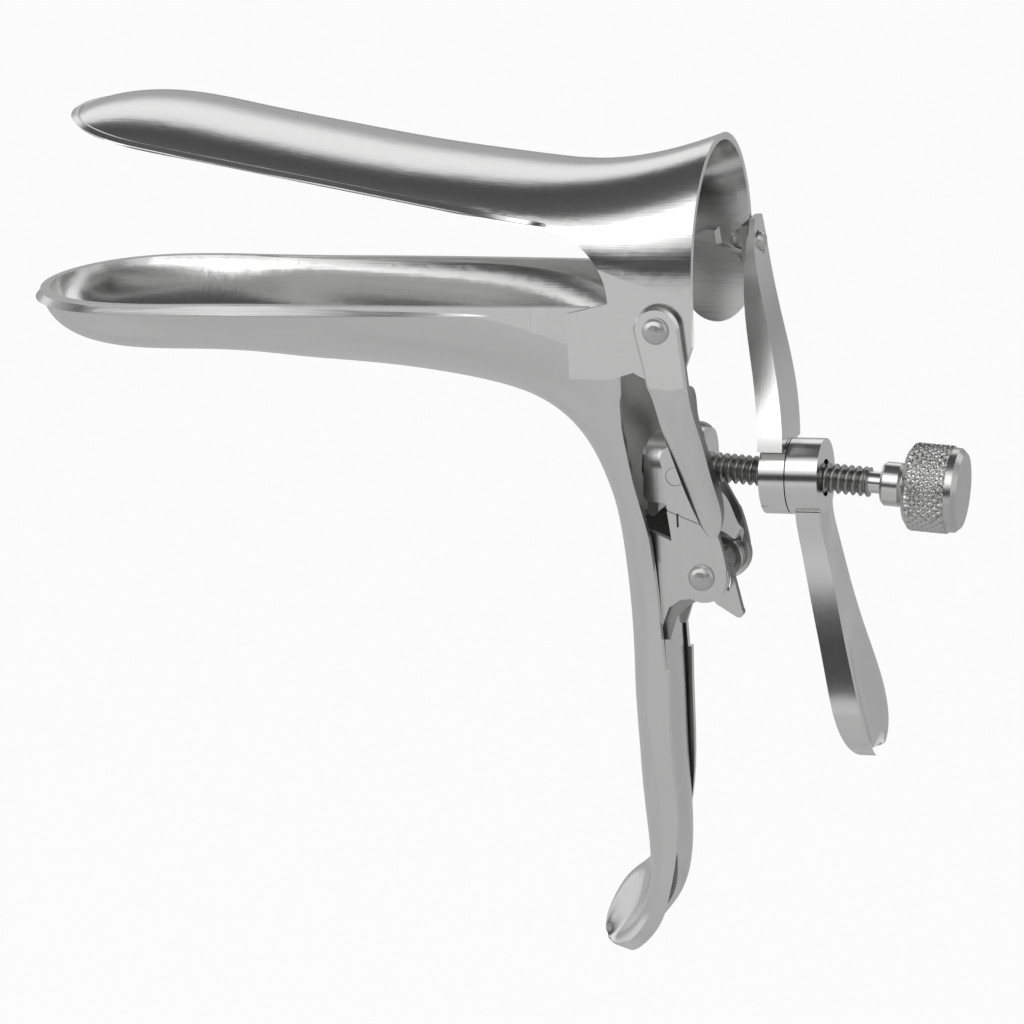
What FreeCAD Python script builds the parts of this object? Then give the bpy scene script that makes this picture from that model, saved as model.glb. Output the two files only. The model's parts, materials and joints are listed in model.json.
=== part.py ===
import FreeCAD, Part
import math
import os

# Bivalve speculum with a side screw, in millimetres, drawn half open as it is held.
# The blade pivot axis is the modelling origin: X runs from the blade tips to the knob, Y across the
# instrument, Z up. Every shape is moved at the end so that the grip point on the handle is at (0, 0, 0).

GRIP = (-8.6, 0.0, -78.0)

# Sheet blades
SHEET = 1.3
BLADE_OPENING = 10.8
TIP_ROUND = 18.6
TIP_STEPS = (4.0, 13.0, 25.0, 39.0, 55.0, 72.0)
UPPER_TIP = -110.0
LOWER_TIP = -114.8
UPPER_RIM = 12.1
LOWER_RIM = 2.9
BLADE_HALF = 19.1
UPPER_HALF = BLADE_HALF - 0.3
COLLAR_HALF = BLADE_HALF + 0.3
LIP = 0.9

# Pivot ears and rivets
EAR_RADIUS = 8.6
EAR_GAP = 0.12
RIVET_SHANK = 1.5
RIVET_HEAD = 2.2
RIVET_RISE = 1.3
RUNNING = 0.06

# Near arm and lever fixings
ARM_IN = COLLAR_HALF + EAR_GAP
ARM_SHEET = 1.6
MOUTH_TOP = (0.5, 32.0)
MOUTH_FOOT = (5.9, -2.0)
SMALL_SHANK = 1.1
STRAP_RIVET = (COLLAR_HALF - 4.8, 7.0)
WALL_RIVET = (3.95, 6.5)
BRACKET_SHEET = 1.0
BRACKET_BACK = 6.95

# Handle
HANDLE_RIVET = (1.7, -45.2)
CHEEK_OUT = 8.0
CHEEK_SHEET = 1.2
BRACKET_WALL = 1.2
LUG_SHEET = 1.3
LUG_HALF = 4.5

# Screw train
SCREW_TILT = 4.3
TRUNNION = (-2.0, -27.93)
THREAD_RADIUS = 2.5
NECK_RADIUS = 1.8
HUB_START = 33.4
HUB_LENGTH = 4.2
HUB_RADIUS = 3.65
KNOB_RADIUS = 7.3
KNOB_LENGTH = 9.2
BLOCK_FRONT = -5.8
BLOCK_BACK = 3.6
BLOCK_LOW = -5.2
BLOCK_HALF = CHEEK_OUT - CHEEK_SHEET - 0.3
PIN_RADIUS = 1.2
PIN_JOURNAL = 1.54
PIN_INNER = NECK_RADIUS + 1.2
BUSH_RADIUS = 4.2
BUSH_SPAN = (11.7, 20.2)
EYE_BORE = 3.1
EYE_RADIUS = 6.35
EYE_CENTRE = (18.85, -29.5)


def vec(x, y, z):
    return FreeCAD.Vector(x, y, z)


def rad(degrees):
    return math.radians(degrees)


def spline(points):
    curve = Part.BSplineCurve()
    curve.interpolate(points)
    return curve.toShape()


def y_cylinder(radius, x, z, y0, y1):
    return Part.makeCylinder(radius, y1 - y0, vec(x, y0, z), vec(0, 1, 0))


def box(x0, x1, y0, y1, z0, z1):
    return Part.makeBox(x1 - x0, y1 - y0, z1 - z0, vec(x0, y0, z0))


def turned(profile, origin, direction):
    """Revolves a (distance, radius) profile about an axis that starts at origin."""
    points = [vec(0, 0, d) + vec(r, 0, 0) for d, r in profile]
    points = [vec(0, 0, profile[0][0])] + points + [vec(0, 0, profile[-1][0])]
    wire = Part.makePolygon(points + [points[0]])
    solid = Part.Face(wire).revolve(vec(0, 0, 0), vec(0, 0, 1), 360)
    solid.Placement = FreeCAD.Placement(origin, FreeCAD.Rotation(vec(0, 0, 1), direction))
    return solid


def outline_wire(outline, y0):
    """The closed wire of an XZ outline of points and (through, end) arcs."""
    edges = []
    start = outline[0]
    here = start
    for item in outline[1:] + [start]:
        if isinstance(item[0], tuple):
            through, end = item
            edges.append(Part.Arc(vec(here[0], y0, here[1]), vec(through[0], y0, through[1]),
                                  vec(end[0], y0, end[1])).toShape())
            here = end
        elif abs(item[0] - here[0]) + abs(item[1] - here[1]) > 1e-6:
            edges.append(Part.LineSegment(vec(here[0], y0, here[1]), vec(item[0], y0, item[1])).toShape())
            here = item
    return Part.Wire(edges)


def prism(outline, y0, y1):
    """Extrudes an XZ outline along Y."""
    return Part.Face(outline_wire(outline, y0)).extrude(vec(0, y1 - y0, 0))


def seated(shape, *neighbours):
    """Cuts a shape back to the faces of its neighbours and keeps its main solid."""
    for neighbour in neighbours:
        shape = shape.cut(neighbour)
    return max(shape.Solids, key=lambda solid: solid.Volume)


def mirrored(shape):
    return shape.mirror(vec(0, 0, 0), vec(0, 1, 0))


def tilt_upper(shape):
    """Turns a shape drawn with the blades' rims parallel to the half-open pose."""
    turned_shape = shape.copy()
    turned_shape.rotate(vec(0, 0, 0), vec(0, 1, 0), BLADE_OPENING)
    return turned_shape


def section(station, inset):
    """One open-sided section: a curved web and two straight sides, closed across the open side."""
    x, z, facing, half, depth, bend, side, dish, twist = station
    out = vec(math.cos(rad(facing)), 0, math.sin(rad(facing)))
    across = vec(0, 1, 0)
    spin = rad(twist)
    normal = out * math.cos(spin) + across * math.sin(spin)
    across = across * math.cos(spin) - out * math.sin(spin)
    base = vec(x, 0, z) + normal * inset
    half = max(half - inset, 0.2)
    depth = max(depth - inset, 0.1)
    top = depth + side + (1.0 if inset else 0.0)
    points = []
    count = 12
    for i in range(count + 1):
        angle = rad(bend) * (2.0 * i / count - 1.0)
        y = half * math.sin(angle) / math.sin(rad(bend))
        lift = depth * (1 - math.cos(angle)) / (1 - math.cos(rad(bend)))
        lift += dish * math.cos(0.5 * math.pi * y / half) ** 2
        points.append(base + across * y + normal * lift)
    left = base - across * half + normal * top
    right = base + across * half + normal * top
    edges = [Part.LineSegment(left, points[0]).toShape(), spline(points),
             Part.LineSegment(points[-1], right).toShape(), Part.LineSegment(right, left).toShape()]
    return Part.Wire(edges)


def tip_station(step, tip, direction, base_z, facing, half, depth, bend, side, power):
    """A station on the rounded end, at the given angle round the quarter ellipse."""
    x = tip + direction * TIP_ROUND * (1 - math.cos(rad(step)))
    h = depth * math.sin(rad(step)) ** power
    z = base_z - h if facing > 0 else base_z + h
    return (x, z, facing, half * math.sin(rad(step)), h, bend, side, 0.0, 0.0)


def plan(tip, half, end, end_half, offset, z):
    """The blade's plan outline at a height: a half ellipse for the tip and sides that run to the given end."""
    points = []
    for step in range(0, 91, 10):
        points.append(vec(tip - offset + (TIP_ROUND + offset) * (1 - math.cos(rad(step))),
                          (half + offset) * math.sin(rad(step)), z))
    middle = 0.5 * (points[-1].x + end)
    sunk = end_half - 0.4 * SHEET
    points.append(vec(middle, half + offset, z))
    points.append(vec(end - 8.0, end_half + 0.7 * offset, z))
    points.append(vec(end, sunk, z))
    far = spline([vec(q.x, -q.y, q.z) for q in reversed(points[1:])] + points)
    return Part.Wire([far, Part.LineSegment(points[-1], vec(end, -sunk, z)).toShape()])


def lip(tip, half, end, end_half, levels):
    """The rounded lip round a blade's rim: levels are (height, offset) pairs."""
    solid = Part.makeLoft([plan(tip, half, end, end_half, offset, z) for z, offset in levels], True, True)
    low = min(z for z, offset in levels) - 1.0
    core = Part.Face(plan(tip, half, end + 1.0, end_half, -0.5 * SHEET, low)).extrude(vec(0, 0, 6))
    return solid.cut(core)


def blade_walls(stations_for):
    """The wall between two lofts: the inner one starts a sheet further from the tip."""
    outer = Part.makeLoft([section(s, 0.0) for s in stations_for(0.0)], True, False)
    inner = Part.makeLoft([section(s, SHEET) for s in stations_for(SHEET)], True, False)
    return outer.cut(inner)


def upper_blade():
    body = (
        # along, crown height, share of the way from blade to collar width, rim height, bend
        (-82.0, 17.2, 0.0, UPPER_RIM, 76),
        (-66.0, 17.1, 0.0, UPPER_RIM, 76),
        (-50.0, 17.3, 0.1, UPPER_RIM, 76),
        (-35.0, 18.2, 0.4, UPPER_RIM, 77),
        (-25.0, 19.1, 0.8, UPPER_RIM - 0.7, 79),
        (-17.0, 20.7, 1.0, UPPER_RIM - 2.9, 83),
        (-10.0, 23.1, 1.0, UPPER_RIM - 4.7, 87),
        (-3.0, 26.4, 1.0, UPPER_RIM - 5.7, 89),
        (3.0, 29.9, 1.0, UPPER_RIM - 5.9, 90),
        (9.0, 33.8, 1.0, UPPER_RIM - 5.9, 90),
    )

    def stations(inset):
        # Seen from below the arch is a trough facing down, so the sections face -90 degrees.
        result = []
        for step in TIP_STEPS:
            result.append(tip_station(step, UPPER_TIP + inset, 1, UPPER_RIM, -90, UPPER_HALF, 5.1, 76, 24, 1.4))
        for x, top, share, base, bend in body:
            half = UPPER_HALF + (COLLAR_HALF - UPPER_HALF) * share
            result.append((x, top, -90, half, top - base, bend, base + 14.0, 0.0, 0.0))
        return result

    walls = blade_walls(stations)
    outline = [
        (UPPER_TIP - 3, UPPER_RIM),
        (-20.0, UPPER_RIM),
        ((-13.0, 9.3), (-9.0, 2.4)),
        (-6.8, -5.4),
        ((-0.6, -EAR_RADIUS - 0.2), (4.9, -7.6)),
        MOUTH_FOOT,
        MOUTH_TOP,
        (MOUTH_TOP[0] - 0.4, 37.0),
        (UPPER_TIP - 3, 37.0),
    ]
    # The far ear is narrower and stays behind the lower blade's ear.
    far_outline = [
        (UPPER_TIP - 3, UPPER_RIM),
        (-20.0, UPPER_RIM),
        ((-13.0, 9.3), (-9.0, 2.4)),
        (-5.2, -3.4),
        ((-0.6, -6.9), (3.4, -4.6)),
        ((4.3, -3.2), (4.7, -1.4)),
        (5.2, 2.4),
        MOUTH_TOP,
        (MOUTH_TOP[0] - 0.4, 37.0),
        (UPPER_TIP - 3, 37.0),
    ]
    blade = walls.common(prism(outline, -40, 0).fuse(prism(far_outline, 0, 40)))
    rim = lip(UPPER_TIP, UPPER_HALF, -21.0, UPPER_HALF,
              ((UPPER_RIM + 0.05, -0.25), (UPPER_RIM + 0.5, 0.5), (UPPER_RIM + 1.1, -0.25)))
    blade = tilt_upper(blade.fuse(rim))
    blade = blade.cut(y_cylinder(SMALL_SHANK, WALL_RIVET[0], WALL_RIVET[1], 0, 40))
    return blade.cut(y_cylinder(RIVET_SHANK + RUNNING, 0, 0, -40, 40))


def lower_blade():
    ear_out = COLLAR_HALF - SHEET - EAR_GAP
    body = (
        # along, height, facing, half width as a share of the blade's, depth, bend, side, dish, twist
        (-76.0, -8.8, 90, 1.0, 11.4, 78, 6, 0, 0),
        (-58.0, -10.2, 89, 1.0, 12.5, 80, 6, 0, 0),
        (-44.0, -11.6, 84, 0.99, 13.7, 82, 6, 0, 0),
        (-33.5, -13.5, 74, 0.965, 15.0, 84, 8, 0, 0),
        (-25.0, -16.5, 62, 0.93, 15.6, 86, 10, 0, 0),
        (-19.8, -20.9, 45, 0.88, 15.6, 86, 12, 0, 0),
        (-16.4, -26.4, 28, 0.78, 11.0, 84, 9, 0, 0),
        (-14.4, -32.5, 15, 0.64, 7.6, 80, 6, 0, 0),
        (-13.4, -39.6, 7, 0.51, 5.5, 74, 5, 0, 0),
        (-12.9, -48.0, 3, 0.44, 4.8, 66, 4, 0, 0),
        (-12.7, -60.0, 1, 0.42, 4.4, 60, 3.4, 0, 0),
        (-12.7, -76.0, 0, 0.41, 4.2, 58, 3.2, 0, 0),
        (-12.6, -88.0, -4, 0.41, 4.0, 58, 2.9, 0.1, 5),
        (-12.8, -96.0, -13, 0.415, 3.0, 60, 2.4, 0.7, 11),
        (-14.8, -103.0, -27, 0.42, 1.6, 62, 2.4, 1.5, 24),
        (-18.2, -108.3, -34, 0.38, 0.9, 64, 2.6, 1.8, 30),
        (-20.3, -111.3, -36, 0.25, 0.6, 64, 2.8, 1.2, 32),
        (-21.1, -112.5, -36, 0.08, 0.3, 64, 2.9, 0.3, 32),
    )

    def stations(inset):
        result = []
        for step in TIP_STEPS:
            result.append(tip_station(step, LOWER_TIP + inset, 1, LOWER_RIM, 90, BLADE_HALF, 11.2, 78, 6, 0.75))
        last = len(body) - 1
        for i, (x, z, facing, share, depth, bend, side, dish, twist) in enumerate(body):
            if inset and i == last:
                continue
            result.append((x, z, facing, BLADE_HALF * share, depth, bend, side, dish, twist))
        return result

    walls = blade_walls(stations)
    # Side outline: the level rim, the rounded rear corner of the flank and the rear edge of the stem.
    outline = [
        (LOWER_TIP - 3, LOWER_RIM),
        (-12.8, LOWER_RIM),
        ((-10.6, 1.9), (-9.7, -0.3)),
        ((-9.6, -1.4), (-9.0, -3.8)),
        (-8.0, -8.0),
        (-8.4, -18.0),
        (-7.7, -28.0),
        (-6.5, -38.0),
        (-6.0, -50.0),
        (-5.6, -62.0),
        (10.0, -62.0),
        (10.0, -125.0),
        (LOWER_TIP - 3, -125.0),
    ]
    shell = walls.common(prism(outline, -40, 40))
    collar_keep = box(-22.0, 12.0, -40, 40, -12.0, 8.0).cut(box(-22.0, 12.0, -ear_out, ear_out, -12.0, 8.0))
    shell = shell.cut(collar_keep)
    rim = lip(LOWER_TIP, BLADE_HALF, -22.0, BLADE_HALF - 1.2,
              ((LOWER_RIM - 1.9, -0.2), (LOWER_RIM - 1.4, LIP), (LOWER_RIM - 0.05, -0.3)))
    shell = shell.fuse(rim)
    near_ear = [
        (-16.0, LOWER_RIM - 1.0),
        (-9.0, LOWER_RIM + 0.6),
        (-4.4, 6.4),
        ((-1.6, 8.2), (0.6, 7.4)),
        ((4.4, 4.0), (4.9, 0.0)),
        ((3.6, -5.6), (0.0, -7.4)),
        (-4.0, -7.4),
        (-9.0, -9.0),
        (-16.0, -9.0),
    ]
    # The far ear is an oval tongue, hollowed at its top corner for the lever's rivet.
    far_ear = [
        (-16.0, LOWER_RIM - 1.0),
        (-9.0, LOWER_RIM + 0.6),
        (-3.9, 6.2),
        ((-1.9, 8.0), (-0.1, 8.1)),
        (0.2, 5.4),
        ((2.2, 4.93), (4.14, 3.47)),
        ((4.75, 2.0), (4.9, 0.0)),
        ((3.9, -5.2), (0.2, -7.5)),
        ((-3.6, -6.4), (-5.6, -3.0)),
        (-9.0, -9.0),
        (-16.0, -9.0),
    ]
    shell = shell.fuse([prism(near_ear, -ear_out, -ear_out + SHEET), prism(far_ear, ear_out - SHEET, ear_out)])
    shank = y_cylinder(RIVET_SHANK, 0, 0, -40, 40)
    sinks = [countersink(side, ear_out - SHEET) for side in (-1, 1)]
    return shell.cut(shank.fuse(sinks))


def countersink(side, y_in):
    """The flush closing head of a pivot rivet, a cone that ends level with the ear's inner face."""
    return turned([(0.0, RIVET_HEAD), (0.7, RIVET_SHANK)], vec(0, side * y_in, 0), vec(0, side, 0))


def dome_head(x, z, y_seat, side):
    """The low domed head of a rivet along Y, standing on its seat."""
    dome = [(0.0, RIVET_HEAD - 0.15), (0.2, RIVET_HEAD), (0.45, RIVET_HEAD - 0.05), (0.85, 0.82 * RIVET_HEAD),
            (1.12, 0.55 * RIVET_HEAD), (RIVET_RISE, 0.2 * RIVET_HEAD)]
    return turned(dome, vec(x, side * y_seat, z), vec(0, side, 0))


def pivot_rivet(side, y_seat):
    """A pivot rivet: a domed head outside, the shank and a flush head in the lower blade's ear."""
    y_in = COLLAR_HALF - 2 * SHEET - EAR_GAP
    low, high = sorted((side * y_in, side * y_seat))
    return dome_head(0, 0, y_seat, side).fuse([y_cylinder(RIVET_SHANK, 0, 0, low, high), countersink(side, y_in)])



def side_arm():
    """The forged arm from the near pivot down to the cheek: flat at the eye, thick and rounded below."""
    outer = ARM_IN + ARM_SHEET
    stations = (
        # z, x left, x right, y outer, y inner, crown
        (-9.4, -2.1, 4.7, -outer, -outer + 1.8, 0.2),
        (-10.8, -1.6, 4.75, -outer + 0.1, -outer + 4.4, 0.5),
        (-14.5, -1.1, 4.9, -outer + 1.1, -outer + 5.0, 0.9),
        (-18.8, -0.7, 5.3, -outer + 2.9, -outer + 6.4, 1.2),
        (-24.5, -0.1, 5.5, -outer + 5.9, -outer + 9.7, 1.3),
        (-30.0, 0.6, 5.8, -CHEEK_OUT - 4.2, -CHEEK_OUT - 0.2, 1.2),
        (-34.5, 1.8, 6.1, -CHEEK_OUT - 2.3, -CHEEK_OUT, 0.8),
        (-37.8, 3.4, 5.0, -CHEEK_OUT - 1.3, -CHEEK_OUT, 0.4),
    )
    wires = []
    for z, x0, x1, y0, y1, crown in stations:
        across = [vec(x0 + (x1 - x0) * k / 6.0, y0 + crown * (k / 3.0 - 1.0) ** 2, z) for k in range(7)]
        wires.append(Part.Wire([spline(across), Part.LineSegment(across[-1], vec(x1, y1, z)).toShape(),
                                Part.LineSegment(vec(x1, y1, z), vec(x0, y1, z)).toShape(),
                                Part.LineSegment(vec(x0, y1, z), across[0]).toShape()]))
    arm = Part.makeLoft(wires, True, False)
    strap_outline = [(-3.9, 0.0), ((0.0, 3.9), (3.9, 0.0)), (4.7, -9.5), (-2.1, -9.5)]
    face_outline = [(-3.45, 0.0), ((0.0, 3.45), (3.45, 0.0)), (4.25, -9.5), (-1.65, -9.5)]
    bevel = Part.makeLoft([outline_wire(strap_outline, -outer + 0.45), outline_wire(face_outline, -outer)], True, True)
    arm = arm.fuse([prism(strap_outline, -outer + 0.45, -ARM_IN), bevel])
    return arm.cut(y_cylinder(RIVET_SHANK, 0, 0, -40, 0))


def rear_bow():
    """The bow that leaves the arm, slopes down behind the screw block and ends inside the far cheek."""
    stations = (
        # y, z top, z foot, x at the top, x at the foot
        (-10.5, -29.0, -36.2, 5.4, 4.6),
        (-8.0, -30.2, -37.0, 5.8, 4.8),
        (-5.0, -32.4, -38.0, 6.0, 5.0),
        (-2.0, -35.4, -39.6, 6.0, 5.2),
        (1.0, -38.2, -41.0, 5.9, 5.2),
        (4.0, -39.8, -41.4, 5.6, 5.0),
        (5.6, -40.5, -41.7, 5.4, 4.9),
        (CHEEK_OUT - CHEEK_SHEET, -41.6, -43.8, 5.2, 4.7),
    )
    wires = []
    for y, top, foot, x_top, x_foot in stations:
        corners = [vec(x_top, y, top), vec(x_foot, y, foot), vec(x_foot - 1.3, y, foot), vec(x_top - 1.3, y, top)]
        wires.append(Part.makePolygon(corners + [corners[0]]))
    return Part.makeLoft(wires, True, False)


def cheek(side):
    """A cheek plate: rounded about the handle rivet, with a pressed-out tongue up to the block's trunnion."""
    rx, rz = HANDLE_RIVET
    step = 0.25
    outline = [
        (-4.2, -26.2),
        ((-1.9, -22.6), (0.8, -25.6)),
        (1.4, -31.0),
        (4.6, -37.2),
        ((5.3, -39.6), (rx + 4.3, rz + 1.6)),
        ((rx, rz - 4.45), (rx - 4.35, rz + 0.8)),
        (-3.3, -37.5),
        (-3.7, -33.4),
    ]
    pad = [
        (-4.2, -26.2),
        ((-1.9, -22.6), (0.8, -25.6)),
        (0.6, -32.6),
        ((0.3, -33.3), (-0.4, -33.5)),
        (-3.7, -33.5),
    ]
    plate = prism(outline, -CHEEK_OUT + step, -CHEEK_OUT + CHEEK_SHEET)
    plate = plate.fuse([prism(pad, -CHEEK_OUT, -CHEEK_OUT + CHEEK_SHEET),
                        y_cylinder(4.3, rx, rz, -CHEEK_OUT, -CHEEK_OUT + CHEEK_SHEET)])
    low = prism([(-3.7, -33.9), (4.6, -37.2), ((5.3, -39.6), (rx + 4.3, rz + 1.6)), (rx + 4.2, rz),
                 (rx - 4.2, rz), (-3.3, -37.5)], -CHEEK_OUT, -CHEEK_OUT + CHEEK_SHEET)
    plate = plate.fuse(low)
    plate = plate.cut(box(-2.1, -1.75, -CHEEK_OUT, -CHEEK_OUT + CHEEK_SHEET, -36.6, -34.3))
    plate = plate.cut(y_cylinder(RIVET_SHANK, rx, rz, -20, 0))
    plate = plate.cut(y_cylinder(PIN_JOURNAL + RUNNING, TRUNNION[0], TRUNNION[1], -20, 0))
    return plate if side < 0 else mirrored(plate)


def handle_bracket():
    """The U bracket seated in the stem, whose two walls carry the cheeks and the handle rivet."""
    rx, rz = HANDLE_RIVET
    y_out = CHEEK_OUT - CHEEK_SHEET
    y_in = y_out - BRACKET_WALL
    wall = prism(
        [
            (-12.5, -37.5),
            (-7.2, -37.7),
            (-3.4, -39.4),
            (-1.0, -40.2),
            (rx + 2.6, rz + 2.6),
            ((rx + 3.6, rz - 1.0), (rx, rz - 3.8)),
            (-2.6, rz - 4.4),
            (-4.6, -51.0),
            (-6.4, -55.5),
            (-12.5, -55.5),
        ],
        -y_out,
        -y_in,
    )
    web = box(-12.5, -10.2, -y_out, y_out, -55.5, -37.5)
    bracket = web.fuse([wall, mirrored(wall)])
    return bracket.cut(y_cylinder(RIVET_SHANK, rx, rz, -20, 20))


def handle_rivet():
    rx, rz = HANDLE_RIVET
    shank = y_cylinder(RIVET_SHANK, rx, rz, -CHEEK_OUT, CHEEK_OUT)
    return shank.fuse([dome_head(rx, rz, CHEEK_OUT, -1), dome_head(rx, rz, CHEEK_OUT, 1)])


def back_handle():
    """The leaf behind the stem: a shallow crowned strip that follows its curve, hung on the handle rivet."""
    rx, rz = HANDLE_RIVET
    y_out = CHEEK_OUT - CHEEK_SHEET - BRACKET_WALL - EAR_GAP
    stations = (
        # x, z, thickness, lean, share of the half width
        (-5.2, -54.0, 2.0, 0, 1.0),
        (-5.3, -60.0, 1.9, 0, 1.0),
        (-5.3, -70.0, 1.8, 0, 1.0),
        (-5.4, -82.0, 1.8, 0, 1.0),
        (-5.2, -91.0, 1.8, -2, 0.95),
        (-5.5, -98.0, 1.8, -11, 0.84),
        (-6.8, -103.2, 1.6, -27, 0.62),
        (-8.8, -106.4, 1.4, -35, 0.46),
        (-10.1, -108.0, 1.2, -38, 0.2),
    )
    wires = []
    crown = 0.7
    for x, z, thick, lean, share in stations:
        half = y_out * share
        out = vec(math.cos(rad(lean)), 0, math.sin(rad(lean)))
        back = vec(x, 0, z)
        arc = [back + vec(0, half * k / 4.0, 0) - out * crown * (k / 4.0) ** 2 for k in range(-4, 5)]
        left = back - vec(0, half, 0) - out * thick
        right = back + vec(0, half, 0) - out * thick
        wires.append(Part.Wire([Part.LineSegment(left, arc[0]).toShape(), spline(arc),
                                Part.LineSegment(arc[-1], right).toShape(), Part.LineSegment(right, left).toShape()]))
    leaf = Part.makeLoft(wires, True, False)
    lug = prism(
        [
            (rx - 3.2, rz + 1.2),
            ((rx + 0.2, rz + 3.5), (rx + 3.4, rz + 0.6)),
            ((rx + 3.0, rz - 2.2), (rx + 0.4, rz - 3.6)),
            (-1.6, -51.0),
            (-3.6, -53.0),
            (-5.0, -57.0),
            (-7.6, -57.0),
            (-7.6, -54.2),
            (-5.4, -52.2),
            (-2.6, -48.4),
        ],
        -y_out,
        -y_out + LUG_SHEET,
    )
    handle = leaf.fuse([lug, mirrored(lug)])
    return handle.cut(y_cylinder(RIVET_SHANK + RUNNING, rx, rz, -20, 20))


def release_tab():
    """The curled thumb tab behind the rivet: a roll about the rivet axis with a pointed tail."""
    rx, rz = HANDLE_RIVET
    outline = [
        (rx + 0.6, rz + 2.4),
        ((rx + 2.0, rz + 3.1), (rx + 3.2, rz + 2.2)),
        ((rx + 3.9, rz + 1.2), (rx + 4.2, rz + 0.2)),
        (7.3, -51.8),
        ((7.25, -52.9), (6.4, -53.1)),
        (2.9, -50.9),
        (rx - 0.6, rz - 3.0),
    ]
    half = CHEEK_OUT - CHEEK_SHEET - BRACKET_WALL - EAR_GAP - LUG_SHEET
    fin = prism(outline, -half, -half + 1.4)
    gap = prism([(rx + 2.9, rz + 1.3), ((rx + 3.3, rz - 0.6), (rx + 2.7, rz - 2.4)),
                 (rx + 3.4, rz - 3.4), ((rx + 3.9, rz - 0.8), (rx + 3.5, rz + 1.3))], -half, half)
    tab = fin.cut(gap).fuse(y_cylinder(2.9, rx, rz, -half, half))
    return tab.cut(y_cylinder(RIVET_SHANK + RUNNING, rx, rz, -20, 20))


def screw_frame(distance):
    """A point on the spindle axis, measured along it from the trunnion."""
    return vec(TRUNNION[0] + distance * math.cos(rad(SCREW_TILT)), 0, TRUNNION[1] - distance * math.sin(rad(SCREW_TILT)))


def screw_direction():
    return vec(math.cos(rad(SCREW_TILT)), 0, -math.sin(rad(SCREW_TILT)))


def tilted(shape):
    """Turns a shape drawn level about the trunnion to the spindle's tilt."""
    result = shape.copy()
    result.rotate(vec(TRUNNION[0], 0, TRUNNION[1]), vec(0, 1, 0), SCREW_TILT)
    return result


def screw_block():
    """The swivelling block: rounded over the spindle like a barrel, flat below, with a small stop lug."""
    x, z = TRUNNION
    side = [
        (x + BLOCK_FRONT, z + 3.4),
        ((x + BLOCK_FRONT + 1.0, z + 5.9), (x + BLOCK_FRONT + 3.2, z + 6.6)),
        (x + BLOCK_BACK - 0.8, z + 6.6),
        (x + BLOCK_BACK, z + 5.8),
        (x + BLOCK_BACK, z + BLOCK_LOW + 1.6),
        ((x + BLOCK_BACK - 0.5, z + BLOCK_LOW + 0.5), (x + BLOCK_BACK - 1.6, z + BLOCK_LOW)),
        (x + BLOCK_FRONT + 1.3, z + BLOCK_LOW),
        ((x + BLOCK_FRONT + 0.4, z + BLOCK_LOW + 0.4), (x + BLOCK_FRONT, z + BLOCK_LOW + 1.3)),
    ]
    barrel = Part.makeCylinder(BLOCK_HALF, 40, vec(x - 20, 0, z), vec(1, 0, 0))
    barrel = barrel.fuse(box(x - 20, x + 20, -BLOCK_HALF, BLOCK_HALF, z - 12, z))
    block = prism(side, -BLOCK_HALF, BLOCK_HALF).common(barrel)
    foot = z + BLOCK_LOW - 3.0
    lug = prism([(x - 5.6, z + BLOCK_LOW + 0.4), (x - 5.5, foot + 0.9), ((x - 4.6, foot), (x - 3.7, foot + 0.9)),
                 (x - 3.6, z + BLOCK_LOW + 0.4)], -LUG_HALF, LUG_HALF)
    block = tilted(block.fuse(lug))
    bore = Part.makeCylinder(NECK_RADIUS + RUNNING, 30, screw_frame(-15), screw_direction())
    holes = y_cylinder(PIN_RADIUS, x, z, -40, -PIN_INNER).fuse(y_cylinder(PIN_RADIUS, x, z, PIN_INNER, 40))
    return block.cut(bore).cut(holes)


def trunnion_pin(side):
    """A pin pressed into the block, turning in the hole of its cheek."""
    x, z = TRUNNION
    pin = y_cylinder(PIN_RADIUS, x, z, -BLOCK_HALF, -PIN_INNER)
    pin = pin.fuse(y_cylinder(PIN_JOURNAL, x, z, -CHEEK_OUT + 0.1, -BLOCK_HALF))
    return pin if side < 0 else mirrored(pin)


def screw_shaft():
    profile = [
        (BLOCK_FRONT - 1.6, NECK_RADIUS - 0.3),
        (BLOCK_FRONT - 1.3, NECK_RADIUS),
        (BLOCK_BACK + EAR_GAP, NECK_RADIUS),
        (BLOCK_BACK + EAR_GAP, THREAD_RADIUS),
        (HUB_START - 2.2, THREAD_RADIUS),
        (HUB_START - 1.7, NECK_RADIUS),
        (HUB_START + HUB_LENGTH, NECK_RADIUS),
    ]
    return turned(profile, screw_frame(0), screw_direction())


def retaining_ring():
    ring = turned([(-1.2, 3.0), (-0.2, 3.4), (0.0, 3.4)], screw_frame(BLOCK_FRONT - EAR_GAP), screw_direction())
    return ring.cut(Part.makeCylinder(NECK_RADIUS, 6, screw_frame(BLOCK_FRONT - 4), screw_direction()))


def knob_hub():
    end = HUB_START + HUB_LENGTH
    hub = turned([(HUB_START, HUB_RADIUS - 0.45), (HUB_START + 0.5, HUB_RADIUS), (end - 1.2, HUB_RADIUS),
                  (end - 0.7, HUB_RADIUS - 0.45), (end, HUB_RADIUS - 0.45)], screw_frame(0), screw_direction())
    return hub.cut(Part.makeCylinder(NECK_RADIUS, HUB_LENGTH + 2, screw_frame(HUB_START - 1), screw_direction()))


def knob():
    start = HUB_START + HUB_LENGTH
    end = start + KNOB_LENGTH
    return turned([(start, KNOB_RADIUS - 1.2), (start + 0.9, KNOB_RADIUS), (end - 1.6, KNOB_RADIUS),
                   (end - 0.8, KNOB_RADIUS - 0.5), (end, KNOB_RADIUS - 1.0)], screw_frame(0), screw_direction())


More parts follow.
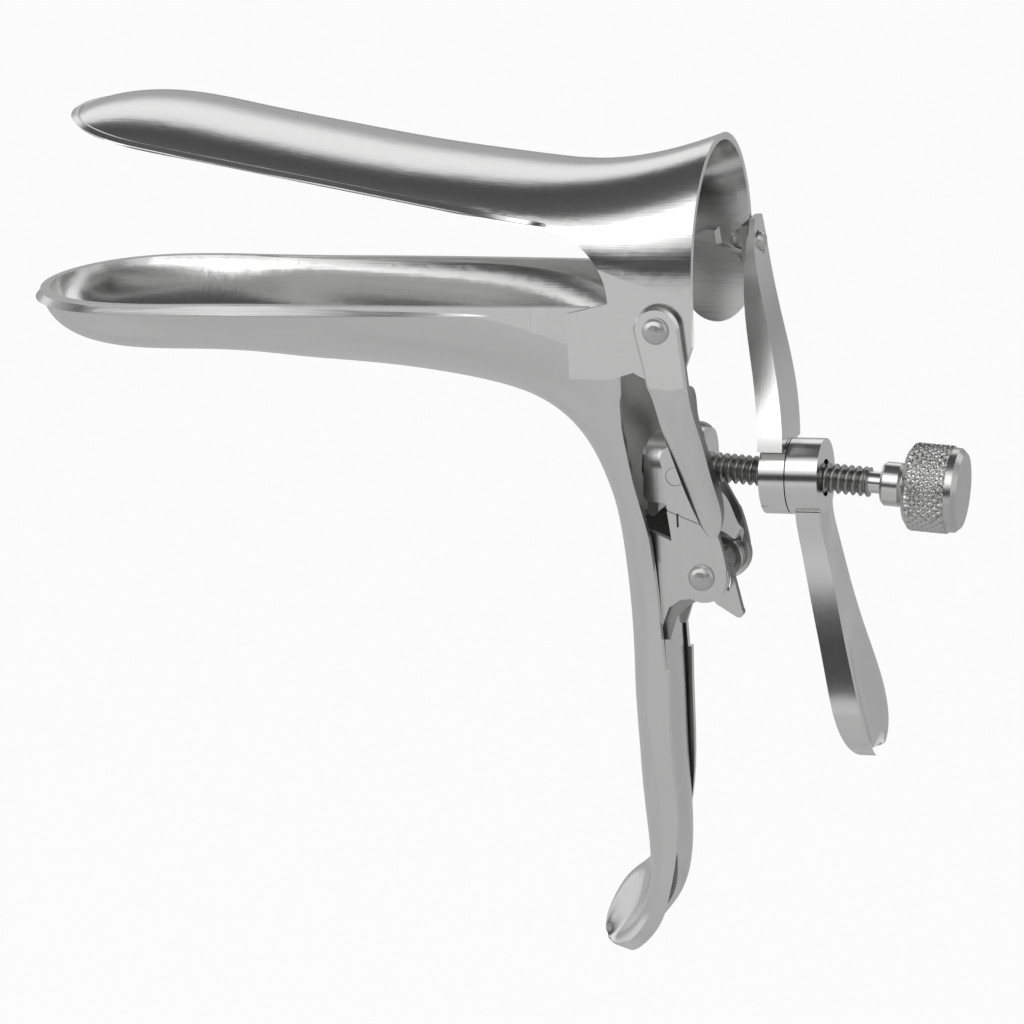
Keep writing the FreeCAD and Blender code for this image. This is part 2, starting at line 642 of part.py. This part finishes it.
def lever_arm():
    """The forged lever from the collar's far side down to its eye on the spindle."""
    stations = (
        (10.9, 7.0, 8.0, STRAP_RIVET[0] + 1.0, 2.2),
        (7.4, 7.0, 8.3, STRAP_RIVET[0], 3.9),
        (-2.0, 7.4, 10.6, 0.73 * STRAP_RIVET[0], 4.6),
        (-10.0, 9.2, 13.1, 0.47 * STRAP_RIVET[0], 5.2),
        (-17.0, 10.9, 15.0, 0.22 * STRAP_RIVET[0], 5.8),
        (-24.0, 11.7, 15.9, 0.2, 6.1),
    )
    wires = []
    for z, x0, x1, y, half in stations:
        corners = [vec(x0, y - half, z), vec(x1, y - half, z), vec(x1, y + half, z), vec(x0, y + half, z)]
        wires.append(Part.makePolygon(corners + [corners[0]]))
    arm = Part.makeLoft(wires, True, False)
    ex, ez = EYE_CENTRE
    eye = Part.makeCylinder(EYE_RADIUS, 4.3, vec(11.7, 0, ez), vec(1, 0, 0))
    arm = arm.fuse(eye)
    arm = arm.cut(Part.makeCylinder(SMALL_SHANK, 20, vec(0, STRAP_RIVET[0], STRAP_RIVET[1]), vec(1, 0, 0)))
    arm = arm.cut(Part.makeCylinder(2.1, 5, vec(8.3, STRAP_RIVET[0], STRAP_RIVET[1]), vec(1, 0, 0)))
    return arm.cut(Part.makeCylinder(BUSH_RADIUS, 30, vec(0, 0, ez), vec(1, 0, 0)))


def lever_bracket():
    """The L bracket: one leg outside the collar's far wall, the other behind its rim under the lever."""
    y0 = COLLAR_HALF
    leg = box(1.8, BRACKET_BACK, y0, y0 + BRACKET_SHEET, 3.4, 9.6)
    back = box(BRACKET_BACK - BRACKET_SHEET, BRACKET_BACK, y0 - 8.2, y0 + BRACKET_SHEET, 3.4, 10.2)
    bracket = leg.fuse(back)
    bracket = bracket.cut(y_cylinder(SMALL_SHANK, WALL_RIVET[0], WALL_RIVET[1], 0, 40))
    return bracket.cut(Part.makeCylinder(SMALL_SHANK, 20, vec(0, STRAP_RIVET[0], STRAP_RIVET[1]), vec(1, 0, 0)))


def small_rivet(start, direction, grip):
    """A rivet with a domed head at its start and a low closing head after its grip."""
    rivet = turned([(-1.1, 0.5), (-0.9, 1.2), (-0.5, 1.6), (0.0, 1.8), (0.0, SMALL_SHANK),
                    (grip, SMALL_SHANK), (grip, 1.8), (grip + 0.4, 1.8), (grip + 0.6, 1.4)],
                   start, direction)
    return rivet


def lever_bush():
    """The bush that joins the two eyes and runs over the spindle."""
    length = BUSH_SPAN[1] - BUSH_SPAN[0]
    bush = Part.makeCylinder(BUSH_RADIUS, length, vec(BUSH_SPAN[0], 0, EYE_CENTRE[1]), vec(1, 0, 0))
    return bush.cut(Part.makeCylinder(EYE_BORE, 50, screw_frame(0), screw_direction()))


def thumb_lever():
    """The thumb lever below: a thick eye, a slim shank and a dished spoon-shaped end."""
    ex, ez = EYE_CENTRE
    eye = Part.makeCylinder(EYE_RADIUS, 5.4, vec(16.2, 0, ez), vec(1, 0, 0))
    stations = (
        (-34.5, 16.5, 21.4, 4.6),
        (-41.0, 17.2, 22.3, 4.5),
        (-49.0, 18.5, 23.8, 5.2),
        (-57.0, 20.1, 25.4, 6.6),
        (-64.0, 21.5, 27.0, 8.0),
        (-70.0, 22.8, 28.2, 8.4),
        (-74.0, 24.1, 28.8, 7.0),
        (-76.7, 25.5, 28.9, 3.4),
    )
    wires = []
    for z, x0, x1, half in stations:
        dish = 1.5 if z < -60 else (0.6 if z < -50 else 0.0)
        back = [vec(x1 - dish * math.cos(0.5 * math.pi * k / 4.0) ** 2, half * k / 4.0, z) for k in range(-4, 5)]
        front = [vec(x0 + 0.9 * (k / 4.0) ** 2, half * k / 4.0, z) for k in range(4, -5, -1)]
        wires.append(Part.Wire([spline(back), Part.LineSegment(back[-1], front[0]).toShape(), spline(front),
                                Part.LineSegment(front[-1], back[0]).toShape()]))
    paddle = Part.makeLoft(wires, True, False)
    lever = eye.fuse(paddle)
    lever = lever.cut(Part.makeCylinder(BUSH_RADIUS, BUSH_SPAN[1] - 10, vec(10, 0, ez), vec(1, 0, 0)))
    return lever.cut(Part.makeCylinder(EYE_BORE, 50, screw_frame(0), screw_direction()))


def write(name, shape):
    shape = shape.copy()
    shape.translate(vec(-GRIP[0], -GRIP[1], -GRIP[2]))
    solids = shape.Solids
    print(name, "solids", len(solids), "volume", round(shape.Volume, 1), "valid", shape.isValid())
    shape.exportStep("parts/" + name + ".step")


def main():
    os.makedirs("parts", exist_ok=True)
    upper = upper_blade()
    lower = lower_blade()
    cheeks = [cheek(-1), cheek(1)]
    arm = seated(side_arm(), cheeks[0])
    write("upper_blade", upper)
    write("lower_blade", lower)
    write("side_arm", arm)
    bracket = seated(handle_bracket(), lower)
    write("rear_bow", seated(rear_bow(), cheeks[0], cheeks[1], arm, bracket))
    write("near_cheek", cheeks[0])
    write("far_cheek", cheeks[1])
    write("handle_bracket", bracket)
    write("handle_rivet", handle_rivet())
    write("back_handle", back_handle())
    write("release_tab", release_tab())
    write("screw_block", screw_block())
    write("near_trunnion", trunnion_pin(-1))
    write("far_trunnion", trunnion_pin(1))
    write("screw_shaft", screw_shaft())
    write("retaining_ring", retaining_ring())
    write("knob_hub", knob_hub())
    write("knob", knob())
    write("lever_arm", lever_arm())
    write("lever_bracket", lever_bracket())
    write("lever_wall_rivet", small_rivet(vec(WALL_RIVET[0], COLLAR_HALF - SHEET, WALL_RIVET[1]), vec(0, 1, 0),
                                          SHEET + BRACKET_SHEET).cut(upper))
    write("lever_strap_rivet", small_rivet(vec(8.3, STRAP_RIVET[0], STRAP_RIVET[1]), vec(-1, 0, 0),
                                           8.3 - BRACKET_BACK + BRACKET_SHEET))
    write("lever_bush", lever_bush())
    write("thumb_lever", thumb_lever())
    write("near_pivot_rivet", pivot_rivet(-1, ARM_IN + ARM_SHEET))
    write("far_pivot_rivet", pivot_rivet(1, ARM_IN))


main()
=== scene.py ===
import json
import math

import bpy
from mathutils import Matrix, Vector

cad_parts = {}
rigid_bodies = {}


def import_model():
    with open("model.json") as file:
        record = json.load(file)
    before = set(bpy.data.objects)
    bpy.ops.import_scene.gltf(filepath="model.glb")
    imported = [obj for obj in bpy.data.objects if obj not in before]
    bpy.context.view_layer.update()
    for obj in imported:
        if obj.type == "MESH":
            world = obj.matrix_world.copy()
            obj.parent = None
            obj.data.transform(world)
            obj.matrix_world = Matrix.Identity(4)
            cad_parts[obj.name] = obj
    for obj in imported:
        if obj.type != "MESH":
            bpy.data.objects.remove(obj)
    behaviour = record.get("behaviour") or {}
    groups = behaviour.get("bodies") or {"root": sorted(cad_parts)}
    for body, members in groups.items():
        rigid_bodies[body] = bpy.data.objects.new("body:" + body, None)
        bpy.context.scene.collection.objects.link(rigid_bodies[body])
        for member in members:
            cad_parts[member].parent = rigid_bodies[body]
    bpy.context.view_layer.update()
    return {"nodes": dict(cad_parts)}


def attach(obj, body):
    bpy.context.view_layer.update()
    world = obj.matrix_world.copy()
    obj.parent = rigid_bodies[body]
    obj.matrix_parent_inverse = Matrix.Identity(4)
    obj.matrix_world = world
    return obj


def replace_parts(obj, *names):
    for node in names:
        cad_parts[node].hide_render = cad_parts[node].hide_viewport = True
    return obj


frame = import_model()

MM = 0.001

# Grip point to blade pivot, and the spindle line, as in the CAD source
PIVOT = Vector((8.6, 0.0, 78.0)) * MM
TRUNNION = Vector((6.6, 0.0, 50.07)) * MM
SCREW_TILT = math.radians(4.3)
SCREW_AXIS = Vector((math.cos(SCREW_TILT), 0.0, -math.sin(SCREW_TILT)))
THREAD_RADIUS = 2.5
THREAD_PITCH = 1.25
THREAD_DEPTH = 0.62
THREAD_SPAN = (3.74, 31.2)
THREAD_RINGS_PER_TURN = 10
THREAD_AROUND = 28
THREAD_RUNOUT = 0.8
CREST_FLAT = 1.25
CORE_AROUND = 32
KNOB_RADIUS = 7.3
KNOB_SPAN = (37.6, 46.8)
KNURL_INSET = (1.1, 2.0)
KNURL_TEETH = 30
KNURL_DEPTH = 0.45
KNURL_FLAT = 1.9
KNURL_ROWS = 42
KNOB_AROUND = 240
SMOOTH_BELOW = math.radians(32)

# Camera fitted to the photograph
CAMERA_AZIMUTH = math.radians(18.774)
CAMERA_ELEVATION = math.radians(15.541)
CAMERA_ROLL = math.radians(-3.666)
CAMERA_DISTANCE = 742.06
CAMERA_OFFSET = (29.48, 34.79)
CAMERA_LENS = 158.24


def material(name):
    """A new material with its nodes, its links and its shader."""
    made = bpy.data.materials.new(name)
    made.use_nodes = True
    return made, made.node_tree.nodes, made.node_tree.links, made.node_tree.nodes["Principled BSDF"]


def steel(name, colour, roughness, spread, stretch, relief):
    """Stainless steel: a metal whose gloss and relief vary along fine brushed lines."""
    made, nodes, links, shader = material(name)
    shader.inputs["Base Color"].default_value = (*colour, 1.0)
    shader.inputs["Metallic"].default_value = 1.0
    shader.inputs["Roughness"].default_value = roughness
    place = nodes.new("ShaderNodeTexCoord")
    mapping = nodes.new("ShaderNodeMapping")
    mapping.inputs["Scale"].default_value = stretch
    links.new(place.outputs["Object"], mapping.inputs["Vector"])
    lines = nodes.new("ShaderNodeTexNoise")
    lines.inputs["Scale"].default_value = 1.0
    lines.inputs["Detail"].default_value = 4.0
    links.new(mapping.outputs["Vector"], lines.inputs["Vector"])
    gloss = nodes.new("ShaderNodeMapRange")
    gloss.inputs["To Min"].default_value = roughness - spread
    gloss.inputs["To Max"].default_value = roughness + spread
    links.new(lines.outputs["Fac"], gloss.inputs["Value"])
    links.new(gloss.outputs["Result"], shader.inputs["Roughness"])
    bump = nodes.new("ShaderNodeBump")
    bump.inputs["Strength"].default_value = relief
    bump.inputs["Distance"].default_value = 0.0001
    links.new(lines.outputs["Fac"], bump.inputs["Height"])
    links.new(bump.outputs["Normal"], shader.inputs["Normal"])
    return made


# Noise scales along X, Y and Z: long in the brushing direction, fine across it
LENGTHWISE = (60.0, 2600.0, 2600.0)
UPRIGHT = (2600.0, 2600.0, 60.0)
EVEN = (400.0, 400.0, 400.0)

satin_blade = steel("satin_blade", (0.78, 0.78, 0.775), 0.2, 0.05, LENGTHWISE, 0.12)
satin_upright = steel("satin_upright", (0.74, 0.74, 0.735), 0.24, 0.05, UPRIGHT, 0.12)
polished = steel("polished", (0.78, 0.78, 0.775), 0.18, 0.03, UPRIGHT, 0.05)
bright = steel("bright", (0.76, 0.76, 0.755), 0.22, 0.03, UPRIGHT, 0.03)
# Dark grey for the plates' cut edges and the walls inside the stem's channel and neck: painted shade
cut_edge_painted_shade = steel("cut_edge_painted_shade", (0.25, 0.25, 0.245), 0.34, 0.05, UPRIGHT, 0.05)
# Darker grey for the back leaf's long edges and its face towards the stem: painted shade
painted_shade_inside = steel("painted_shade_inside", (0.42, 0.42, 0.415), 0.3, 0.06, LENGTHWISE, 0.12)
rivet_steel = steel("rivet_steel", (0.62, 0.62, 0.615), 0.36, 0.04, EVEN, 0.05)
thread_steel = steel("thread_steel", (0.36, 0.36, 0.355), 0.3, 0.06, EVEN, 0.1)
knurled = steel("knurled", (0.62, 0.62, 0.615), 0.24, 0.04, EVEN, 0.1)

FINISHES = {
    "upper_blade": satin_blade,
    "lower_blade": satin_blade,
    "side_arm": polished,
    "rear_bow": polished,
    "near_cheek": satin_upright,
    "far_cheek": satin_upright,
    "handle_bracket": satin_upright,
    "back_handle": satin_upright,
    "release_tab": satin_upright,
    "screw_block": satin_upright,
    "screw_shaft": thread_steel,
    "lever_bush": thread_steel,
    "near_pivot_rivet": rivet_steel,
    "far_pivot_rivet": satin_blade,
    "handle_rivet": rivet_steel,
    "lever_wall_rivet": rivet_steel,
    "lever_strap_rivet": rivet_steel,
    "near_trunnion": satin_upright,
    "far_trunnion": satin_upright,
    "knob": knurled,
    "lever_bracket": satin_upright,
    "lever_arm": polished,
    "thumb_lever": polished,
}

for name, node in frame["nodes"].items():
    node.data.materials.clear()
    node.data.materials.append(FINISHES.get(name, bright))


# Plates lie across Y, so their cut edges face away from it; these edges get a dark grey that is painted
# shade
PLATES = ("side_arm", "near_cheek", "far_cheek", "handle_bracket", "release_tab", "lever_bracket")
EDGE_TURN = 0.4
LEAF_SIDE_TURN = 0.55
LEAF_FRONT_TURN = 0.5

# The channel inside the stem, and the inside of the neck above it, which get painted shade, in metres
STEM_TOP = 0.034
STEM_BOTTOM = -0.012
CHANNEL_HALF = 0.004
CHANNEL_TURN = 0.3
NECK_TOP = 0.0655
NECK_FRONT = -0.014
NECK_BACK_TURN = 0.5


def paint_shade_on_faces(name, finish, belongs):
    """Gives a second finish, a darker grey that is painted shade, to the faces of a piece that the test
    picks.
    """
    data = frame["nodes"][name].data
    data.materials.append(finish)
    place = frame["nodes"][name].matrix_world
    turn = place.to_3x3()
    for face in data.polygons:
        if belongs(place @ face.center, (turn @ face.normal).normalized()):
            face.material_index = 1


def cut_edge_shade_mask(centre, normal):
    """A cut edge of a plate, which gets painted shade."""
    return abs(normal.y) < EDGE_TURN


def leaf_shade_mask(centre, normal):
    """The back leaf's long edges and its face towards the stem, which get painted shade."""
    return abs(normal.y) > LEAF_SIDE_TURN or normal.x < -LEAF_FRONT_TURN


def channel_shade_mask(centre, normal):
    """The walls inside the stem's channel, and the inside of the neck, which get painted shade."""
    inward = normal.y * centre.y < 0.0
    if centre.z < STEM_TOP:
        beside = abs(normal.y) > CHANNEL_TURN and abs(centre.y) > CHANNEL_HALF
        return inward and beside and centre.z > STEM_BOTTOM
    return (inward or normal.x > NECK_BACK_TURN) and centre.z < NECK_TOP and centre.x > NECK_FRONT


# Darker grey on cut edges, on the back leaf's sides and inside the stem's channel and neck: painted shade
for plate in PLATES:
    paint_shade_on_faces(plate, cut_edge_painted_shade, cut_edge_shade_mask)
paint_shade_on_faces("back_handle", painted_shade_inside, leaf_shade_mask)
paint_shade_on_faces("lower_blade", cut_edge_painted_shade, channel_shade_mask)


def add_mesh(name, points, faces, finish, body):
    """A new piece that rides on a body and fills a material slot."""
    data = bpy.data.meshes.new(name)
    data.from_pydata(points, [], faces)
    data.validate()
    data.materials.append(finish)
    made = bpy.data.objects.new(name, data)
    bpy.context.scene.collection.objects.link(made)
    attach(made, body)
    return made


def round_grid(rings, around, radius_at):
    """Points and faces of a turned skin on the spindle line.

    radius_at(step, turn) gives each point's distance along the spindle and its radius."""
    side = Vector((0.0, 1.0, 0.0))
    up = side.cross(SCREW_AXIS)
    points = []
    for i in range(rings):
        for j in range(around):
            turn = j / around
            along, radius = radius_at(i, turn)
            angle = 2 * math.pi * turn
            points.append(TRUNNION + (SCREW_AXIS * along + side * radius * math.cos(angle)
                                      + up * radius * math.sin(angle)) * MM)
    faces = []
    for i in range(rings - 1):
        for j in range(around):
            k = (j + 1) % around
            faces.append((i * around + j, i * around + k, (i + 1) * around + k, (i + 1) * around + j))
    first = len(points)
    for ring in (0, rings - 1):
        points.append(sum((points[ring * around + j] for j in range(around)), Vector()) / around)
    for j in range(around):
        k = (j + 1) % around
        faces.append((first, k, j))
        faces.append((first + 1, (rings - 1) * around + j, (rings - 1) * around + k))
    return points, faces


def wave(value):
    """A triangle wave from 0 at whole numbers to 1 halfway between them."""
    part = value % 1.0
    return 1.0 - abs(2.0 * part - 1.0)


def spindle_thread():
    """The right-hand thread, which runs out at both ends."""
    start, end = THREAD_SPAN
    rings = int((end - start) / THREAD_PITCH * THREAD_RINGS_PER_TURN) + 1

    def radius_at(i, turn):
        along = start + (end - start) * i / (rings - 1)
        fade = min(1.0, (along - start) / THREAD_RUNOUT, (end - along) / THREAD_RUNOUT)
        crest = wave(along / THREAD_PITCH - turn)
        groove = 1.0 - min(1.0, CREST_FLAT * crest)
        return along, THREAD_RADIUS - THREAD_DEPTH * groove * max(fade, 0.0)

    points, faces = round_grid(rings, THREAD_AROUND, radius_at)
    return add_mesh("spindle_thread", points, faces, thread_steel, "spindle")


thread = spindle_thread()


def spindle_core():
    """The core: the journal through the block, the rod under the thread and the neck into the knob."""
    profile = [
        (-7.4, 1.5), (-7.1, 1.8), (3.73, 1.8), (3.74, 1.85),
        (31.1, 1.85), (31.3, 1.8), (KNOB_SPAN[0], 1.8),
    ]

    def radius_at(i, turn):
        return profile[i]

    points, faces = round_grid(len(profile), CORE_AROUND, radius_at)
    return add_mesh("spindle_core", points, faces, bright, "spindle")


core = spindle_core()
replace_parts(core, "screw_shaft")
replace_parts(thread, "screw_shaft")


def knurled_knob():
    """The thumb knob: chamfered ends round a band of crossing knurls."""
    start, end = KNOB_SPAN
    pitch = 2 * math.pi * KNOB_RADIUS / KNURL_TEETH
    knurl_start, knurl_end = start + KNURL_INSET[0], end - KNURL_INSET[1]
    steps = [(start, KNOB_RADIUS - 1.3), (start + 0.8, KNOB_RADIUS - 0.2)]
    for i in range(KNURL_ROWS):
        steps.append((knurl_start + (knurl_end - knurl_start) * i / (KNURL_ROWS - 1), None))
    steps += [
        (end - 1.95, KNOB_RADIUS - 0.35), (end - 1.7, KNOB_RADIUS - 0.3),
        (end - 0.8, KNOB_RADIUS - 0.35), (end, KNOB_RADIUS - 1.1),
    ]

    def radius_at(i, turn):
        along, radius = steps[i]
        if radius is None:
            one = wave(turn * KNURL_TEETH + along / pitch)
            other = wave(turn * KNURL_TEETH - along / pitch)
            radius = KNOB_RADIUS - KNURL_DEPTH * (1.0 - min(1.0, KNURL_FLAT * min(one, other)))
        return along, radius

    points, faces = round_grid(len(steps), KNOB_AROUND, radius_at)
    return add_mesh("knob_knurl", points, faces, knurled, "spindle")


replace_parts(knurled_knob(), "knob")

# Edges sharper than the angle stay hard and the rest is shaded smooth
for made in list(bpy.context.scene.objects):
    if made.type == "MESH":
        for face in made.data.polygons:
            face.use_smooth = True
        made.data.set_sharp_from_angle(angle=SMOOTH_BELOW)


def math_node(nodes, links, operation, *values):
    """The result of a math node whose inputs are numbers or other nodes' outputs."""
    made = nodes.new("ShaderNodeMath")
    made.operation = operation
    for socket, value in zip(made.inputs, values):
        if isinstance(value, float):
            socket.default_value = value
        else:
            links.new(value, socket)
    return made.outputs["Value"]


# The floor's colour, its glow for the camera, and its glow for gloss: far away, fading towards the object
# as painted shade, and how uneven
FLOOR_GREY = 0.66
FLOOR_SHOWN = 0.95
FLOOR_FAR_SHARE = 0.3
FLOOR_FAR = -0.92
FLOOR_NEAR = -0.6
FLOOR_UNEVEN = 0.3
FLOOR_PATCHES = 9.0
FLOOR_LEVEL = -0.16
FLOOR_SIZE = 14.0


def floor_material():
    """A pale floor that glows white for the camera, and less so for gloss, most of all near the object,
    where the weaker glow is painted shade seen in the steel.
    """
    made, nodes, links, shader = material("floor_white")
    shader.inputs["Base Color"].default_value = (FLOOR_GREY, FLOOR_GREY, FLOOR_GREY, 1.0)
    shader.inputs["Roughness"].default_value = 0.9
    glow = nodes.new("ShaderNodeEmission")
    glow.inputs["Color"].default_value = (1.0, 1.0, 1.0, 1.0)
    glow.inputs["Strength"].default_value = 1.0
    place = nodes.new("ShaderNodeNewGeometry")
    split = nodes.new("ShaderNodeSeparateXYZ")
    links.new(place.outputs["Position"], split.inputs["Vector"])
    # The glow for gloss fades out towards the object, so the steel mirrors a darker floor there: painted
    # shade
    painted_shade_fall = nodes.new("ShaderNodeMapRange")
    painted_shade_fall.inputs["From Min"].default_value = FLOOR_FAR
    painted_shade_fall.inputs["From Max"].default_value = FLOOR_NEAR
    painted_shade_fall.inputs["To Min"].default_value = FLOOR_FAR_SHARE
    painted_shade_fall.inputs["To Max"].default_value = 0.0
    links.new(split.outputs["Y"], painted_shade_fall.inputs["Value"])
    patches = nodes.new("ShaderNodeTexNoise")
    patches.inputs["Scale"].default_value = FLOOR_PATCHES
    patches.inputs["Detail"].default_value = 1.0
    links.new(place.outputs["Position"], patches.inputs["Vector"])
    paths = nodes.new("ShaderNodeLightPath")
    noise = patches.outputs["Fac"]
    patchy_glow_and_painted_shade = math_node(nodes, links, "MULTIPLY_ADD", noise, FLOOR_UNEVEN, painted_shade_fall.outputs["Result"])
    mirrored = math_node(nodes, links, "MULTIPLY", paths.outputs["Is Glossy Ray"], patchy_glow_and_painted_shade)
    share = math_node(nodes, links, "MULTIPLY_ADD", paths.outputs["Is Camera Ray"], FLOOR_SHOWN, mirrored)
    blend = nodes.new("ShaderNodeMixShader")
    links.new(share, blend.inputs["Fac"])
    links.new(shader.outputs["BSDF"], blend.inputs[1])
    links.new(glow.outputs["Emission"], blend.inputs[2])
    links.new(blend.outputs["Shader"], nodes["Material Output"].inputs["Surface"])
    return made


def plane(name, centre, size, finish):
    """A level square of the stage."""
    bpy.ops.mesh.primitive_plane_add(size=1.0)
    made = bpy.context.active_object
    made.name = name
    made.scale = (size, size, 1.0)
    made.location = centre
    made.data.materials.append(finish)
    return made


plane("floor", (0.0, 0.0, FLOOR_LEVEL), FLOOR_SIZE, floor_material())


def curve_of(nodes, links, source, stops):
    """A colour ramp of greys over the given value."""
    ramp = nodes.new("ShaderNodeValToRGB")
    ramp.color_ramp.interpolation = "EASE"
    points = ramp.color_ramp.elements
    while len(points) < len(stops):
        points.new(0.5)
    for point, (place, grey) in zip(points, stops):
        point.position = place
        point.color = (grey, grey, grey, 1.0)
    links.new(source, ramp.inputs["Fac"])
    return ramp.outputs["Color"]


# Grey of the room that the steel mirrors, over half a turn from the front horizon to the back horizon
ROOM_SWEEP = (
    (0.0, 0.03),
    (0.08, 0.03),
    (0.15, 0.95),
    (0.22, 0.9),
    (0.25, 0.66),
    (0.28, 0.92),
    (0.36, 0.92),
    (0.42, 0.1),
    (0.7, 0.07),
    (0.76, 1.0),
    (0.86, 1.0),
    (0.91, 0.35),
    (1.0, 0.45),
)


# Where the room's sides begin and are full, as shares of a direction that points along X
ROOM_SIDES = (0.72, 0.95)
SIDE_GREY = 0.75
SOFT_LIGHT = 0.5


def studio_world():
    """White for the camera, and half as strong for soft light.

    Gloss sees a room with a dark strip at eye level, light walls in front and behind and a dark ceiling."""
    world = bpy.data.worlds.new("studio")
    bpy.context.scene.world = world
    world.use_nodes = True
    nodes, links = world.node_tree.nodes, world.node_tree.links
    place = nodes.new("ShaderNodeTexCoord")
    split = nodes.new("ShaderNodeSeparateXYZ")
    links.new(place.outputs["Generated"], split.inputs["Vector"])
    # The sweep runs from the horizon on the photographer's side, over the top, to the horizon behind
    towards = math_node(nodes, links, "MULTIPLY", split.outputs["Y"], -1.0)
    sweep = math_node(nodes, links, "ARCTAN2", split.outputs["Z"], towards)
    share = math_node(nodes, links, "DIVIDE", sweep, math.pi)
    arch = curve_of(nodes, links, share, ROOM_SWEEP)
    aside = math_node(nodes, links, "ABSOLUTE", split.outputs["X"])
    side = nodes.new("ShaderNodeMapRange")
    side.inputs["From Min"].default_value = ROOM_SIDES[0]
    side.inputs["From Max"].default_value = ROOM_SIDES[1]
    links.new(aside, side.inputs["Value"])
    room = nodes.new("ShaderNodeMixRGB")
    links.new(side.outputs["Result"], room.inputs["Fac"])
    links.new(arch, room.inputs["Color1"])
    room.inputs["Color2"].default_value = (SIDE_GREY, SIDE_GREY, SIDE_GREY, 1.0)
    soft = nodes["Background"]
    soft.inputs["Color"].default_value = (1.0, 1.0, 1.0, 1.0)
    soft.inputs["Strength"].default_value = SOFT_LIGHT
    mirrored = nodes.new("ShaderNodeBackground")
    mirrored.inputs["Strength"].default_value = 1.0
    links.new(room.outputs["Color"], mirrored.inputs["Color"])
    shown = nodes.new("ShaderNodeBackground")
    shown.inputs["Color"].default_value = (1.0, 1.0, 1.0, 1.0)
    shown.inputs["Strength"].default_value = 1.0
    paths = nodes.new("ShaderNodeLightPath")
    gloss = nodes.new("ShaderNodeMixShader")
    links.new(paths.outputs["Is Glossy Ray"], gloss.inputs["Fac"])
    links.new(soft.outputs["Background"], gloss.inputs[1])
    links.new(mirrored.outputs["Background"], gloss.inputs[2])
    blend = nodes.new("ShaderNodeMixShader")
    links.new(paths.outputs["Is Camera Ray"], blend.inputs["Fac"])
    links.new(gloss.outputs["Shader"], blend.inputs[1])
    links.new(shown.outputs["Background"], blend.inputs[2])
    links.new(blend.outputs["Shader"], nodes["World Output"].inputs["Surface"])


studio_world()


def lamp(name, place, target, size, watts):
    """A rectangular softbox that faces its target."""
    data = bpy.data.lights.new(name, "AREA")
    data.shape = "RECTANGLE"
    data.size, data.size_y = size
    data.energy = watts
    made = bpy.data.objects.new(name, data)
    made.location = place
    made.rotation_mode = "QUATERNION"
    made.rotation_quaternion = (Vector(target) - Vector(place)).to_track_quat("-Z", "Y")
    bpy.context.scene.collection.objects.link(made)
    return made


LAMP_TARGET = (0, 0, 0.05)
lamp("top_softbox", (-0.2, -0.7, 0.75), LAMP_TARGET, (1.2, 0.45), 1.5)
lamp("left_softbox", (-0.9, -0.6, 0.5), LAMP_TARGET, (0.5, 0.7), 1.2)


def photo_camera():
    """The camera of the photograph, placed from the blade pivot."""
    back = Vector((math.sin(CAMERA_AZIMUTH) * math.cos(CAMERA_ELEVATION),
                   -math.cos(CAMERA_AZIMUTH) * math.cos(CAMERA_ELEVATION), math.sin(CAMERA_ELEVATION)))
    level = Vector((math.cos(CAMERA_AZIMUTH), math.sin(CAMERA_AZIMUTH), 0.0))
    up = back.cross(level)
    right = level * math.cos(CAMERA_ROLL) + up * math.sin(CAMERA_ROLL)
    top = up * math.cos(CAMERA_ROLL) - level * math.sin(CAMERA_ROLL)
    place = (back * CAMERA_DISTANCE - right * CAMERA_OFFSET[0] - top * CAMERA_OFFSET[1]) * MM + PIVOT
    data = bpy.data.cameras.new("photo_camera")
    data.lens = CAMERA_LENS
    data.sensor_width = 36.0
    data.clip_start = 0.01
    data.clip_end = 50.0
    made = bpy.data.objects.new("photo_camera", data)
    made.rotation_mode = "QUATERNION"
    made.rotation_quaternion = Matrix((right, top, back)).transposed().to_quaternion()
    made.location = place
    bpy.context.scene.collection.objects.link(made)
    bpy.context.scene.camera = made


photo_camera()
bpy.context.scene.view_settings.view_transform = "Standard"
